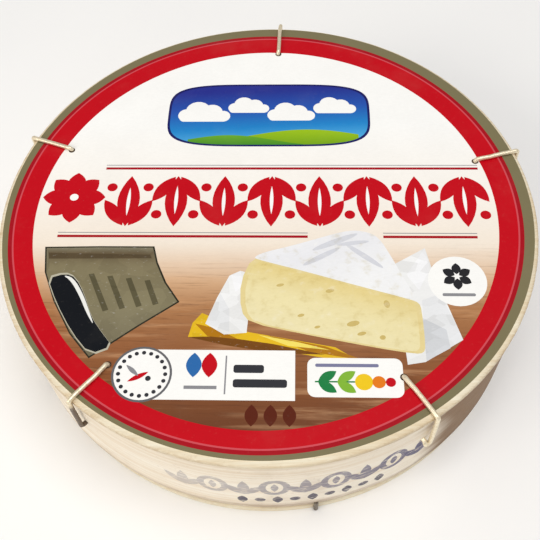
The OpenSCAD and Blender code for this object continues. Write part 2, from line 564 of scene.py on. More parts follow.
@dataclass
class CheeseWedge:
    """A cut wedge of cheese on white and gold foil."""

    rind: tuple[Point, ...] = (
        (-2.6, -13.6), (-1.4, -11.9), (5.6, -9.9), (12.4, -7.5), (17.4, -5.9), (21.0, -6.2), (23.6, -7.6),
        (26.0, -12.6), (28.4, -18.4), (30.8, -23.6), (16.4, -19.8),
    )
    face: tuple[Point, ...] = (
        (-2.7, -12.9), (0.4, -14.0), (8.0, -16.2), (18.0, -19.4), (29.2, -22.8), (30.8, -23.6),
        (31.2, -25.2), (31.3, -33.3), (30.8, -34.7), (29.2, -34.9), (22.0, -33.7), (8.0, -30.8),
        (-2.6, -28.4), (-4.6, -25.6), (-4.9, -18.8),
    )
    middle: Point = (13.6, -25.4)
    dimples: tuple[Spot, ...] = (
        (14.5, -8.9, 5.2, 0.7, 24), (11.6, -12.6, 4.4, 0.6, 30),
        (20.4, -12.4, 4.8, 0.6, -38), (18.2, -9.2, 3.4, 0.5, 8),
    )
    eyes: tuple[Spot, ...] = (
        (13.2, -20.9, 0.9, 0.45), (24.4, -23.9, 0.6, 0.9), (17.6, -28.4, 1.3, 0.6), (19.2, -30.6, 0.9, 0.4),
        (7.4, -26.6, 0.7, 0.35), (23.2, -31.4, 0.6, 0.5), (3.2, -19.6, 0.8, 0.35), (10.6, -29.2, 0.6, 0.3),
    )

    def foils(self) -> list[Shape]:
        """Draws the crumpled foil behind and under the wedge.

        Returns:
            The shapes, from the lowest up.
        """
        white, pale, shade, bright = (foil_ink(code) for code in ("F6F7F8", "ECEEF1", "DADDE2", "FBFCFF"))
        gold, amber, glint, umber = (foil_ink(code) for code in ("E9BE22", "B67A10", "F8E46A", "7A4A16"))
        return [
            Shape([(-14.6, -31.6), (-13.9, -28.4), (-12.2, -26.2), (-3.0, -30.4), (14.0, -33.6),
                   (19.8, -37.4), (8.0, -35.2), (-4.0, -33.0)], gold),
            Shape([(-14.6, -31.6), (-8.6, -31.4), (2.0, -33.0), (12.0, -35.2), (3.0, -35.0),
                   (-7.0, -33.4)], umber),
            *printed(amber, [(-13.4, -28.6), (-9.4, -29.6), (-4.8, -32.0), (-10.8, -31.4)],
                     [(1.0, -31.2), (12.0, -33.4), (19.6, -36.4), (9.0, -34.6)]),
            Shape([(-1.0, -31.0), (7.0, -32.6), (13.0, -34.2), (5.0, -33.4)], glint),
            Shape([(-11.4, -28.6), (-9.4, -22.6), (-7.2, -17.4), (-5.0, -16.2), (-2.4, -17.0),
                   (-3.2, -30.6), (-7.6, -31.0)], white),
            Shape([(-11.4, -28.6), (-8.8, -21.6), (-6.8, -25.4), (-6.6, -30.4)], pale),
            Shape([(-6.9, -17.2), (-5.0, -16.2), (-4.2, -19.8), (-5.8, -21.2)], bright),
            Shape([(26.2, -14.6), (33.0, -10.4), (34.2, -16.4), (38.6, -31.8), (31.0, -36.6),
                   (27.6, -37.2)], white),
            Shape([(31.4, -23.0), (35.2, -21.4), (38.6, -31.8), (31.2, -36.4)], pale),
            Shape([(31.2, -27.0), (35.6, -29.6), (36.0, -33.6), (31.2, -36.4)], shade),
            Shape([(28.8, -17.0), (33.0, -10.4), (33.6, -15.6), (31.0, -20.6)], bright),
        ]

    def shapes(self) -> list[Shape]:
        """Draws the foils, the rind and the cut face.

        Returns:
            The shapes, from the lowest up.
        """
        whites = ((-24.0, "F6F7F9"), (-14.0, "EDEEF3"), (-6.0, "F7F7FA"))
        creams = ((-36.0, "E5D59A"), (-29.0, "EFE5B8"), (-20.0, "F0E4B0"), (-14.0, "E8D48F"))
        rind = Ink(whites, axis=(-0.35, 0.94), surface=Surface.CHEESE)
        paste = Ink(creams, axis=(0.28, 0.96), surface=Surface.CHEESE)
        crust, shadow, eye = (Ink.plain(code, Surface.CHEESE) for code in ("E8D698", "D9DBE3", "D2BB74"))
        found = self.foils() + printed(rind, softened(self.rind))
        found += printed(shadow, *(ellipse(*dimple, 20) for dimple in self.dimples))
        found += printed(crust, softened(self.face, 1))
        found += printed(paste, softened(drawn_in(self.face, self.middle, 0.055), 1))
        return found + printed(eye, *(ellipse(*spot, 14, 14) for spot in self.eyes))


@dataclass
class Badges:
    """The plain white panels along the foot of the label, each with a simple ornament."""

    strip: Spot = (-22.6, -44.8, 6.3, -34.4)
    seal: Point = (-22.8, -39.6)
    seal_radius: float = 5.8
    beads: int = 20
    card: Spot = (8.6, -44.0, 26.6, -35.9)
    roundel: Point = (38.9, -18.4)
    roundel_radius: float = 5.9

    def seal_shapes(self) -> list[Shape]:
        """Draws a beaded ring round a small sprig.

        Returns:
            The shapes, from the lowest up.
        """
        x, y = self.seal
        found = printed(Ink.plain("66666A"), circle(x, y, self.seal_radius, 40))
        found += printed(WHITE, circle(x, y, self.seal_radius - 0.45, 40))
        for i in range(self.beads):
            px, py = polar(4.5, math.tau * i / self.beads)
            found += printed(SLATE, circle(x + px, y + py, 0.42, 10))
        found += printed(RED, leaf(x - 2.6, y - 1.6, 1.0, 4.4, -62))
        found += printed(GREY, leaf(x - 0.6, y - 0.4, 0.9, 3.4, 48))
        return found + printed(SLATE, circle(x + 1.3, y - 0.9, 0.55, 12))

    def strip_shapes(self) -> list[Shape]:
        """Draws the strip with two drops, a divider and two bars.

        Returns:
            The shapes, from the lowest up.
        """
        x0, y0, x1, y1 = self.strip
        found = printed(WHITE, panel(x0, y0, x1, y1))
        found += printed(Ink.plain("2C6AAE"), leaf(x0 + 9.6, y0 + 4.6, 3.0, 5.2))
        found += printed(RED, leaf(x0 + 12.6, y0 + 4.6, 3.0, 5.2))
        found += printed(GREY, panel(x0 + 8.0, y0 + 2.2, x0 + 14.2, y0 + 2.9))
        found += printed(GREY, panel(x0 + 15.6, y0 + 1.2, x0 + 15.9, y1 - 1.2))
        found += printed(SLATE, panel(x0 + 17.2, y0 + 5.6, x0 + 23.0, y0 + 7.3, 0.5))
        return found + printed(SLATE, panel(x0 + 17.2, y0 + 2.6, x0 + 27.4, y0 + 4.3, 0.5))

    def card_shapes(self) -> list[Shape]:
        """Draws the card with a garland of leaves and fruit.

        Returns:
            The shapes, from the lowest up.
        """
        x0, y0, x1, y1 = self.card
        green, lime, straw, orange = (Ink.plain(code) for code in ("1E8145", "83B837", "F2CB1D", "E77E1B"))
        middle = (y0 + y1) / 2 - 0.9
        found = printed(WHITE, panel(x0, y0, x1, y1, 1.5))
        found += printed(Ink.plain("7C7DA0"), panel(x0 + 1.5, y1 - 1.9, x1 - 4.5, y1 - 1.2, 0.3))
        found += printed(green, panel(x0 + 1.4, middle - 0.16, x1 - 1.6, middle + 0.16))
        for x, ink in ((2.0, green), (5.6, lime)):
            found += printed(ink, *(leaf(x0 + x, middle, 1.9, 4.1, turn) for turn in (-58, -122)))
        for x, radius, ink in ((10.6, 1.7, straw), (13.4, 1.25, orange), (15.6, 0.95, RED)):
            found += printed(ink, circle(x0 + x, middle, radius, 20))
        return found

    def roundel_shapes(self) -> list[Shape]:
        """Draws a white roundel with a plain wheel of segments over a bar.

        Returns:
            The shapes, from the lowest up.
        """
        x, y = self.roundel
        found = printed(WHITE, circle(x, y, self.roundel_radius, 36))
        found += printed(Ink.plain("26262A"), *petals(x, y + 1.1, 6, 0.5, 1.9, 2.7))
        return found + printed(GREY, panel(x - 3.3, y - 3.6, x + 3.3, y - 2.9, 0.3))

    def shapes(self) -> list[Shape]:
        """Draws all the panels and the lozenges at the foot.

        Returns:
            The shapes, from the lowest up.
        """
        found = self.strip_shapes() + self.seal_shapes() + self.card_shapes() + self.roundel_shapes()
        return found + printed(BROWN, *(leaf(-1.7 + 3.5 * i, -49.9, 2.5, 4.3) for i in range(3)))


@dataclass
class StampedFrieze:
    """Two faded rows of ornament stamped on the lid's hoop, about a middle along it."""

    middle: float
    row_top: float = 22.8
    row_foot: float = 14.2
    units: int = 9
    pitch: float = 6.0
    lean: int = 36
    small_top: float = 13.2
    small_foot: float = 9.2
    small_units: int = 9
    small_pitch: float = 3.5
    small_shift: float = 1.5
    ink: str = "4B4974"
    small_ink: str = "3D3952"
    faint: float = 0.36
    full: float = 0.95

    def row(self) -> list[Shape]:
        """Draws the upper row, of fans and rings in turn, fainter on the left.

        Returns:
            The shapes, from the lowest up.
        """
        found = []
        centre, half = (self.row_top + self.row_foot) / 2, (self.row_top - self.row_foot) / 2
        for i in range(self.units):
            x = self.middle + (i - (self.units - 1) / 2) * self.pitch
            strength = self.faint + (self.full - self.faint) * i / (self.units - 1)
            ink = Ink.plain(self.ink, strength=strength)
            if i % 2:
                found += printed(ink, ellipse(x, centre, 3.1, half, 0, 30))
                found += printed(WOOD_BARE, ellipse(x, centre, 1.7, half - 1.4, 0, 26))
                found += printed(ink, leaf(x, centre - 2.2, 1.5, 4.4))
            else:
                for turn in (-self.lean, 0, self.lean):
                    length = 2 * half - 0.8 - abs(turn) / 24
                    found += printed(ink, leaf(x, self.row_foot + 0.2, 2.3, length, turn))
        return found

    def small_row(self) -> list[Shape]:
        """Draws the lower row, of leaves and dots in turn.

        Returns:
            The shapes, from the lowest up.
        """
        found = []
        foot, height = self.small_foot, self.small_top - self.small_foot
        ink = Ink.plain(self.small_ink, strength=self.full)
        for i in range(self.small_units):
            x = self.middle + self.small_shift + (i - (self.small_units - 1) / 2) * self.small_pitch
            unit = circle(x, foot + height / 2, 1.1, 16) if i % 2 else leaf(x, foot, 2.1, height)
            found += printed(ink, unit)
        return found

    def shapes(self) -> list[Shape]:
        """Draws both rows."""
        return self.row() + self.small_row()


# ---------------------------------------------------------------- meshes


def cut_out(shapes: list[Shape], free: list[Point]) -> tuple[list[Point], Faces, list[int], list[int]]:
    """Cuts a flat sheet along the outlines of the shapes printed on it.

    Args:
        shapes: The shapes, of which the first is the whole sheet and later ones lie on top.
        free: Further points of the sheet.

    Returns:
        The sheet's points, its triangles, for each triangle the number of its topmost shape, and
        the numbers of the points on the sheet's own outline, in order.
    """
    points, faces = [], []
    for shape in shapes:
        start = len(points)
        points += anticlockwise(shape.outline)
        faces.append(list(range(start, len(points))))
    points += free
    flat, _, triangles, origins, _, owners = delaunay_2d_cdt([Vector(p) for p in points], [], faces, 1, 1e-4)
    keep = [(tuple(t), max(o)) for t, o in zip(triangles, owners) if o]
    became = {old: new for new, olds in enumerate(origins) for old in olds}
    return [tuple(p) for p in flat], [t for t, _ in keep], [o for _, o in keep], [became[i] for i in faces[0]]


def mesh_of(name: str, points: Sequence[Sequence[float]], faces: Faces) -> Mesh:
    """Makes a mesh from points in millimetres.

    Args:
        name: Name of the mesh.
        points: Its points.
        faces: The point numbers of each face.

    Returns:
        The mesh.
    """
    mesh = bpy.data.meshes.new(name)
    mesh.from_pydata([tuple(c * MM for c in p) for p in points], [], [tuple(f) for f in faces])
    mesh.update()
    return mesh


def band(lower: int, upper: int, size: int) -> Faces:
    """Joins two closed rings of points, each of the given size, from their first points on."""
    ahead = [(i, (i + 1) % size) for i in range(size)]
    return [(lower + i, lower + j, upper + j, upper + i) for i, j in ahead]


def store(mesh: Mesh, layer: str, kind: str, values: Sequence[float], domain: str = "POINT") -> None:
    """Stores a layer of values on a mesh, by point or by face corner."""
    mesh.attributes.new(layer, kind, domain).data.foreach_set(VALUE_KEYS[kind], values)


def finish_mesh(mesh: Mesh, sharp: float = 32.0, outward: bool = True) -> None:
    """Turns a mesh's faces outward and smooths it up to an angle.

    Args:
        mesh: The mesh.
        sharp: Degrees from which an edge stays sharp.
        outward: Whether the faces are turned outward.
    """
    if outward:
        work = bmesh.new()
        work.from_mesh(mesh)
        bmesh.ops.recalc_face_normals(work, faces=work.faces)
        work.to_mesh(mesh)
        work.free()
    mesh.shade_smooth()
    mesh.set_sharp_from_angle(angle=math.radians(sharp))


def new_object(name: str, data: bpy.types.ID) -> bpy.types.Object:
    """Puts a new object into the scene.

    Args:
        name: Its name.
        data: Its mesh, lamp or camera.

    Returns:
        The object.
    """
    made = bpy.data.objects.new(name, data)
    bpy.context.scene.collection.objects.link(made)
    return made


def place_piece(mesh: Mesh, materials: Sequence[Material], slot: str, *nodes: str) -> None:
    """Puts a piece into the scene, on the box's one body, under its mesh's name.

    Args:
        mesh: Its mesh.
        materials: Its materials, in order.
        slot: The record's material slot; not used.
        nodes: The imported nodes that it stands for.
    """
    for material in materials:
        mesh.materials.append(material)
    piece = new_object(mesh.name, mesh)
    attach(piece, BODY)
    if nodes:
        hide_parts(*nodes)
    LOG.info("%s: %d points, %d faces", mesh.name, len(mesh.vertices), len(mesh.polygons))


# ---------------------------------------------------------------- finishes


class NodeBench:
    """Adds nodes to one node tree and joins them."""

    def __init__(self, tree: Tree) -> None:
        """Keeps the tree to work on."""
        self.tree = tree

    def add(self, kind: str, inputs: dict | None = None, **settings: object) -> Node:
        """Adds a node.

        Args:
            kind: The node's type name, without its ShaderNode prefix.
            inputs: Values or sockets for its inputs, by name or number.
            settings: The node's own properties.

        Returns:
            The node.
        """
        node = self.tree.nodes.new(kind if kind.startswith("Node") else f"ShaderNode{kind}")
        for key, value in settings.items():
            setattr(node, key, value)
        self.feed(node, inputs or {})
        return node

    def feed(self, node: Node, inputs: dict) -> None:
        """Joins sockets to a node's inputs, or sets the inputs' own values.

        Args:
            node: The node.
            inputs: Sockets, numbers, vectors or colours, by the input's name or number.
        """
        for key, value in inputs.items():
            if isinstance(value, Socket):
                self.tree.links.new(value, node.inputs[key])
            else:
                node.inputs[key].default_value = value

    def group(self, tree: Tree, **inputs: object) -> Node:
        """Adds a node group with values or sockets for its inputs."""
        return self.add("Group", inputs, node_tree=tree)

    def math(self, operation: str, a: object, b: object = 0.0) -> Socket:
        """Works out a number from two others."""
        return self.add("Math", {0: a, 1: b}, operation=operation).outputs[0]

    def times(self, a: object, b: object) -> Socket:
        """Multiplies two numbers."""
        return self.math("MULTIPLY", a, b)

    def total(self, *terms: tuple[object, float]) -> Socket:
        """Adds up numbers, each times its weight."""
        return reduce(lambda a, b: self.math("ADD", a, b), [self.times(*term) for term in terms])

    def scaled(self, vector: object, scale: Sequence[float]) -> Socket:
        """Multiplies a vector by another, part by part."""
        return self.add("VectorMath", {0: vector, 1: tuple(scale)}, operation="MULTIPLY").outputs[0]

    def mix(self, share: object, a: object, b: object, how: str = "MIX") -> Socket:
        """Mixes two colours.

        Args:
            share: How much of the second.
            a: The first colour.
            b: The second colour.
            how: The way in which they mix.

        Returns:
            The mixed colour.
        """
        node = self.add("Mix", {0: share, 6: a, 7: b}, data_type="RGBA", blend_type=how, clamp_factor=True)
        return node.outputs[2]

    def noise(self, place: object, lengths: Spot, detail: float = 4.0, rough: float = 0.55) -> Socket:
        """Gives cloudy noise from 0 to 1.

        Args:
            place: The place in millimetres.
            lengths: Size of its patches along the three axes, with 0 for an endless one.
            detail: How many finer layers it has.
            rough: How strong they are.

        Returns:
            Its value.
        """
        vector = self.scaled(place, [1 / length if length else 0 for length in lengths])
        inputs = {"Vector": vector, "Scale": 1.0, "Detail": detail, "Roughness": rough}
        return self.add("TexNoise", inputs).outputs[0]

    def ramp(self, value: object, low: float, high: float, start: float = 0.0, end: float = 1.0) -> Socket:
        """Maps a range of values onto another, with soft ends.

        Args:
            value: The value.
            low: Where the range starts.
            high: Where it ends.
            start: What its start becomes.
            end: What its end becomes.

        Returns:
            The mapped value.
        """
        inputs = {"Value": value, "From Min": low, "From Max": high, "To Min": start, "To Max": end}
        return self.add("MapRange", inputs, interpolation_type="SMOOTHSTEP").outputs[0]

    def axis(self, vector: object, name: str) -> Socket:
        """Gives one part of a vector, X, Y or Z."""
        return self.add("SeparateXYZ", {0: vector}).outputs[name]

    def millimetres(self) -> Socket:
        """Gives the place on the piece in millimetres."""
        return self.scaled(self.add("TexCoord").outputs["Object"], (1 / MM, 1 / MM, 1 / MM))

    def layer(self, name: str, output: str) -> Socket:
        """Reads a layer that is stored on the mesh."""
        return self.add("Attribute", attribute_name=name, attribute_type="GEOMETRY").outputs[output]


def new_group(name: str, inputs: Sequence[tuple], outputs: Sequence[tuple[str, str]]) -> tuple:
    """Makes an empty shader node group with named sockets.

    Args:
        name: The group's name.
        inputs: Name, kind and default value of each input.
        outputs: Name and kind of each output.

    Returns:
        The group, a bench for it, its input node and its output node.
    """
    group = bpy.data.node_groups.new(name, "ShaderNodeTree")
    for label, kind, value in inputs:
        socket = group.interface.new_socket(label, in_out="INPUT", socket_type=f"NodeSocket{kind}")
        socket.default_value = value
    for label, kind in outputs:
        group.interface.new_socket(label, in_out="OUTPUT", socket_type=f"NodeSocket{kind}")
    bench = NodeBench(group)
    return group, bench, bench.add("NodeGroupInput"), bench.add("NodeGroupOutput")


@lru_cache(maxsize=None)
def wood_grain_group() -> Tree:
    """Makes the grain of sliced poplar, along the first axis of its place.

    Returns:
        The node group.
    """
    group, b, source, out = new_group(
        "WoodGrain",
        (
            ("Place", "Vector", (0, 0, 0)), ("Pale", "Color", (0.8, 0.7, 0.5, 1)),
            ("Dark", "Color", (0.5, 0.35, 0.2, 1)), ("Contrast", "Float", 1.0),
        ),
        (("Color", "Color"), ("Height", "Float"), ("Roughness", "Float")),
    )
    place, pale, dark, contrast = (source.outputs[name] for name in ("Place", "Pale", "Dark", "Contrast"))
    bands = b.noise(place, (70, 5.5, 5.5), 3.0, 0.5)
    streaks = b.noise(place, (26, 0.8, 0.8), 5.0, 0.6)
    fibres = b.noise(place, (3.2, 0.16, 0.16), 3.0, 0.6)
    flecks = b.ramp(b.noise(place, (5.5, 0.3, 0.3), 2.0, 0.5), 0.62, 0.74)
    tone = b.total((bands, 0.42), (streaks, 0.4), (fibres, 0.18))
    colour = b.mix(b.times(b.ramp(tone, 0.36, 0.66), contrast), pale, dark)
    b.feed(out, {
        "Color": b.mix(b.times(b.times(flecks, 0.45), contrast), colour, dark),
        "Height": b.total((streaks, 0.6), (fibres, 0.5), (flecks, -0.3)),
        "Roughness": b.ramp(fibres, 0.2, 0.8, 0.5, 0.78),
    })
    return group


@lru_cache(maxsize=None)
def paper_group() -> Tree:
    """Makes the fibre and the faint unevenness of coated paper.

    Returns:
        The node group.
    """
    group, b, source, out = new_group(
        "PaperFibre", (("Place", "Vector", (0, 0, 0)),),
        (("Tone", "Float"), ("Height", "Float"), ("Roughness", "Float")),
    )
    place = source.outputs["Place"]
    cloud = b.noise(place, (9, 9, 9), 3.0)
    fibre = b.noise(place, (0.9, 0.35, 0.6), 4.0, 0.65)
    tooth = b.noise(place, (0.16, 0.16, 0.16), 2.0)
    uneven, strands = b.ramp(cloud, 0.3, 0.7, -0.012, 0.012), b.ramp(fibre, 0.25, 0.75, 0.975, 1.015)
    b.feed(out, {
        "Tone": b.math("ADD", uneven, strands),
        "Height": b.total((fibre, 0.7), (tooth, 0.3)),
        "Roughness": b.ramp(cloud, 0.3, 0.7, 0.36, 0.48),
    })
    return group


@lru_cache(maxsize=None)
def handling_group() -> Tree:
    """Makes the scuffs and dull dust of handling, as a mask.

    Returns:
        The node group.
    """
    group, b, source, out = new_group(
        "Handling", (("Place", "Vector", (0, 0, 0)), ("Amount", "Float", 0.3)), (("Mask", "Float"),),
    )
    place = source.outputs["Place"]
    patches = b.ramp(b.noise(place, (16, 16, 16), 4.0, 0.6), 0.5, 0.72)
    specks = b.ramp(b.noise(place, (0.7, 0.7, 0.7), 2.0), 0.6, 0.75)
    b.feed(out, {"Mask": b.times(b.total((patches, 0.6), (specks, 0.4)), source.outputs["Amount"])})
    return group


def start_material(name: str) -> tuple[Material, NodeBench, Node, Socket]:
    """Makes a material with its shader.

    Args:
        name: The material's name.

    Returns:
        The material, a bench for its nodes, its Principled shader, and the place in millimetres.
    """
    material = bpy.data.materials.new(name)
    material.use_nodes = True
    material.node_tree.nodes.clear()
    bench = NodeBench(material.node_tree)
    shader = bench.add("BsdfPrincipled")
    bench.add("OutputMaterial", {"Surface": shader.outputs["BSDF"]})
    return material, bench, shader, bench.millimetres()


def dented(bench: NodeBench, height: object, depth: float, strength: float) -> Socket:
    """Makes a bump from a height.

    Args:
        bench: The bench of the shader's tree.
        height: The height's socket.
        depth: The height of a full step, in millimetres.
        strength: How strongly it shows.

    Returns:
        The bumped normal.
    """
    inputs = {"Strength": strength, "Distance": depth * MM, "Height": height}
    return bench.add("Bump", inputs).outputs["Normal"]


@dataclass(frozen=True)
class WoodFinish:
    """Sliced poplar, pale and dry.

    Args:
        name: Name of the material.
        pale: Colour code between the streaks.
        dark: Colour code of the streaks.
        edge: Colour code of a raw or handled edge.
        contrast: How strongly the streaks show.
        follows_bend: Whether the grain follows a bent strip, and not the first axis.
        shade_and_heart: Colour code of the browner tint on one side of a bent strip, partly heartwood and
            partly painted shade of the side away from the key lamp.
        shade_and_heart_span: Places to the right between which that browner tint begins.
    """

    name: str
    pale: str
    dark: str
    edge: str
    contrast: float = 0.7
    follows_bend: bool = False
    shade_and_heart: str = "86653E"
    shade_and_heart_span: Point = (31.0, 39.0)

    def bent(self, b: NodeBench, place: object, run: object, colour: object) -> Socket:
        """Adds the browner tint, partly heartwood and partly painted shade, and the stamped ink of a bent
        strip.

        Args:
            b: The bench of the material's tree.
            place: The place in millimetres.
            run: The place along the strip.
            colour: The colour of the wood.

        Returns:
            The colour of the strip.
        """
        drift = b.noise(run, (40, 5, 5), 3.0)
        side = b.math("ADD", b.axis(place, "X"), b.times(drift, 9.0))
        # Painted shade: the strip turns browner towards the right, partly as heartwood and partly standing in
        # for the shade on the side away from the key lamp.
        colour = b.mix(b.ramp(side, *self.shade_and_heart_span, 0.0, 0.95), colour, opaque(self.shade_and_heart), "MULTIPLY")
        patch = b.ramp(b.noise(run, (2.4, 0.5, 0.5), 4.0, 0.6), 0.3, 0.5)
        return b.mix(b.times(b.layer(INK_LAYER, "Alpha"), patch), colour, b.layer(INK_LAYER, "Color"))

    def make(self) -> Material:
        """Makes the material.

        Returns:
            The material.
        """
        material, b, shader, place = start_material(self.name)
        run = b.layer(GRAIN_LAYER, "Vector") if self.follows_bend else place
        pale, dark, edge = opaque(self.pale), opaque(self.dark), opaque(self.edge)
        grain = b.group(wood_grain_group(), Place=run, Pale=pale, Dark=dark, Contrast=self.contrast)
        height = grain.outputs["Height"]
        wear = b.group(handling_group(), Place=place, Amount=0.35)
        colour = b.mix(wear.outputs["Mask"], grain.outputs["Color"], edge)
        raw = b.times(b.layer(EDGE_AND_SHADE_LAYER, "Fac"), b.ramp(height, 0.35, 0.75, 0.25, 1.0))
        colour = b.mix(raw, colour, edge)
        b.feed(shader, {
            "Base Color": self.bent(b, place, run, colour) if self.follows_bend else colour,
            "Roughness": grain.outputs["Roughness"],
            "Normal": dented(b, height, 0.09, 0.7),
        })
        return material


@dataclass(frozen=True)
class PrintFinish:
    """Coated paper with a printed surface."""

    surface: Surface

    def textured(self, b: NodeBench, place: object, ink: Socket) -> Socket:
        """Adds what the printed picture shows to the ink.

        Args:
            b: The bench of the material's tree.
            place: The place in millimetres.
            ink: The ink's colour.

        Returns:
            The printed colour.
        """
        if self.surface is Surface.TABLE:
            along = b.add("Mapping", {"Vector": place, "Rotation": (0, 0, math.radians(4))}).outputs[0]
            planks = b.ramp(b.noise(along, (34, 2.2, 0), 5.0, 0.62), 0.5, 0.7)
            streaks = b.ramp(b.noise(along, (9, 0.55, 0), 4.0, 0.6), 0.5, 0.72)
            low = b.ramp(b.axis(place, "Y"), -24.0, -9.0, 1.0, 0.0)
            light = b.mix(b.times(planks, b.times(low, 0.42)), ink, opaque("E2B184"))
            return b.mix(b.times(streaks, b.times(low, 0.5)), light, opaque("5A3320"))
        if self.surface is Surface.CHEESE:
            cloud = b.noise(place, (2.6, 2.2, 0), 4.0, 0.6)
            mottled = b.mix(b.ramp(cloud, 0.5, 0.75, 0.0, 0.4), ink, opaque("D9CCA0"), "MULTIPLY")
            return b.mix(b.ramp(cloud, 0.25, 0.45, 0.25, 0.0), mottled, opaque("FFFDF4"))
        if self.surface is Surface.FOIL:
            cells = {"Vector": b.scaled(place, (1 / 3.6, 1 / 2.3, 0)), "Scale": 1.0}
            facets = b.add("SeparateColor", {0: b.add("TexVoronoi", cells).outputs["Color"]}).outputs[0]
            creased = b.mix(b.ramp(facets, 0.0, 1.0, 0.0, 0.17), ink, opaque("8F8B80"), "MULTIPLY")
            glint = b.ramp(b.noise(place, (1.1, 0.6, 0), 3.0), 0.62, 0.74, 0.0, 0.2)
            return b.mix(glint, creased, opaque("FFFFFF"))
        return ink

    def make(self) -> Material:
        """Makes the material.

        Returns:
            The material.
        """
        material, b, shader, place = start_material(f"label_{self.surface.name.lower()}")
        paper = b.group(paper_group(), Place=place)
        wear = b.group(handling_group(), Place=place, Amount=0.04).outputs["Mask"]
        tone = b.add("CombineColor", {i: paper.outputs["Tone"] for i in range(3)}).outputs[0]
        colour = b.mix(1.0, self.textured(b, place, b.layer(INK_LAYER, "Color")), tone, "MULTIPLY")
        b.feed(shader, {
            "Base Color": b.mix(wear, colour, opaque("CFC6B4")),
            "Roughness": b.math("ADD", paper.outputs["Roughness"], wear),
            "Specular IOR Level": 0.12,
            "Normal": dented(b, paper.outputs["Height"], 0.02, 0.45),
        })
        return material


@dataclass(frozen=True)
class WireFinish:
    """Drawn steel wire, dull with fine scratches, and dark brown as painted shade where its mesh marks it."""

    name: str = "staple_steel"
    bright: str = "FBEFD4"
    dull: str = "D9C8A4"

    def make(self) -> Material:
        """Makes the material.

        Returns:
            The material.
        """
        material, b, shader, place = start_material(self.name)
        scratches = b.noise(place, (0.5, 0.5, 0.5), 5.0, 0.65)
        wear = b.group(handling_group(), Place=place, Amount=0.4).outputs["Mask"]
        colour = b.mix(b.ramp(scratches, 0.4, 0.75), opaque(self.bright), opaque(self.dull))
        colour = b.mix(wear, colour, opaque("9A917F"))
        b.feed(shader, {
            # Painted shade: where the mesh's layer marks a leg, the steel turns dark brown.
            "Base Color": b.mix(b.layer(EDGE_AND_SHADE_LAYER, "Fac"), colour, opaque("4A3328")),
            "Roughness": b.ramp(scratches, 0.3, 0.75, 0.3, 0.5),
            "Metallic": 0.6,
            "Normal": dented(b, scratches, 0.015, 0.25),
        })
        return material


@dataclass(frozen=True)
class FloorFinish:
    """A matte white floor with a faint unevenness."""

    name: str = "studio_floor"

    def make(self) -> Material:
        """Makes the material.

        Returns:
            The material.
        """
        material, b, shader, place = start_material(self.name)
        cloud = b.ramp(b.noise(place, (90, 90, 90), 3.0), 0.35, 0.65)
        colour = b.mix(cloud, (0.95, 0.95, 0.95, 1), (0.97, 0.97, 0.968, 1))
        b.feed(shader, {"Base Color": colour, "Roughness": 0.9})
        return material


# ---------------------------------------------------------------- staples


